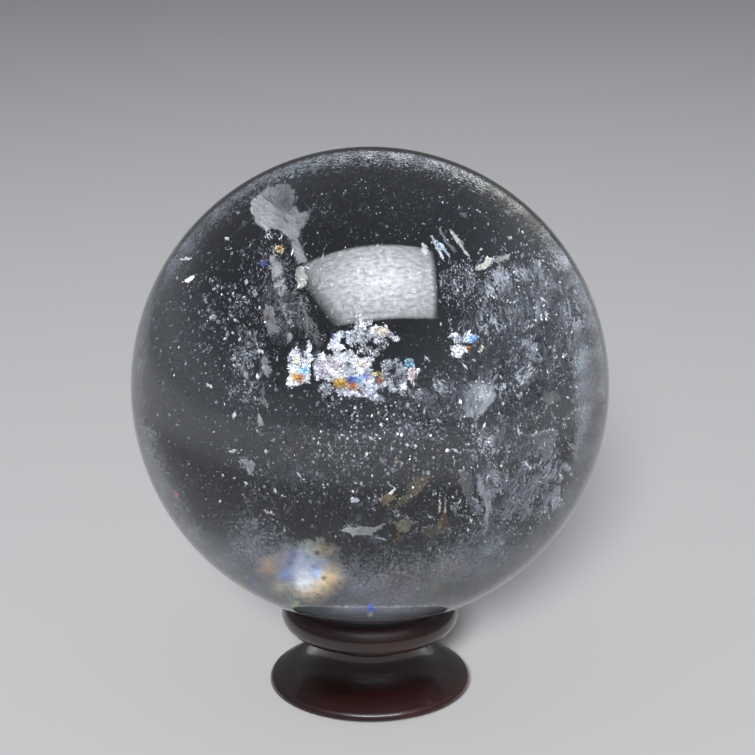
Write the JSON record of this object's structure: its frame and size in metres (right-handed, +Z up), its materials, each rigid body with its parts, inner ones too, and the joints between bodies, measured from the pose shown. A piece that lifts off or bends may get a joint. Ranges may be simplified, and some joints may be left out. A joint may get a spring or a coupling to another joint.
{
  "type": "quartz sphere on a stand",
  "caption": "Polished ball of clear quartz with veils and flaws inside, resting in the dished rim of a small turned wooden stand.",
  "frame": {"origin": "centre of the stand's flat underside", "axes": "+Z up through the centre of the ball; the picture looks along +Y from -Y, with +X to the right"},
  "size_m": [0.075, 0.075, 0.0885],
  "materials": {
    "clear_quartz": "polished, clear, with grey-white veils and flakes inside",
    "lacquered_wood": "dark red-brown lacquer over close grain, glossy"
  },
  "bodies": {
    "root": {"quartz_sphere": "clear_quartz", "turned_stand": "lacquered_wood"}
  },
  "joints": []
}
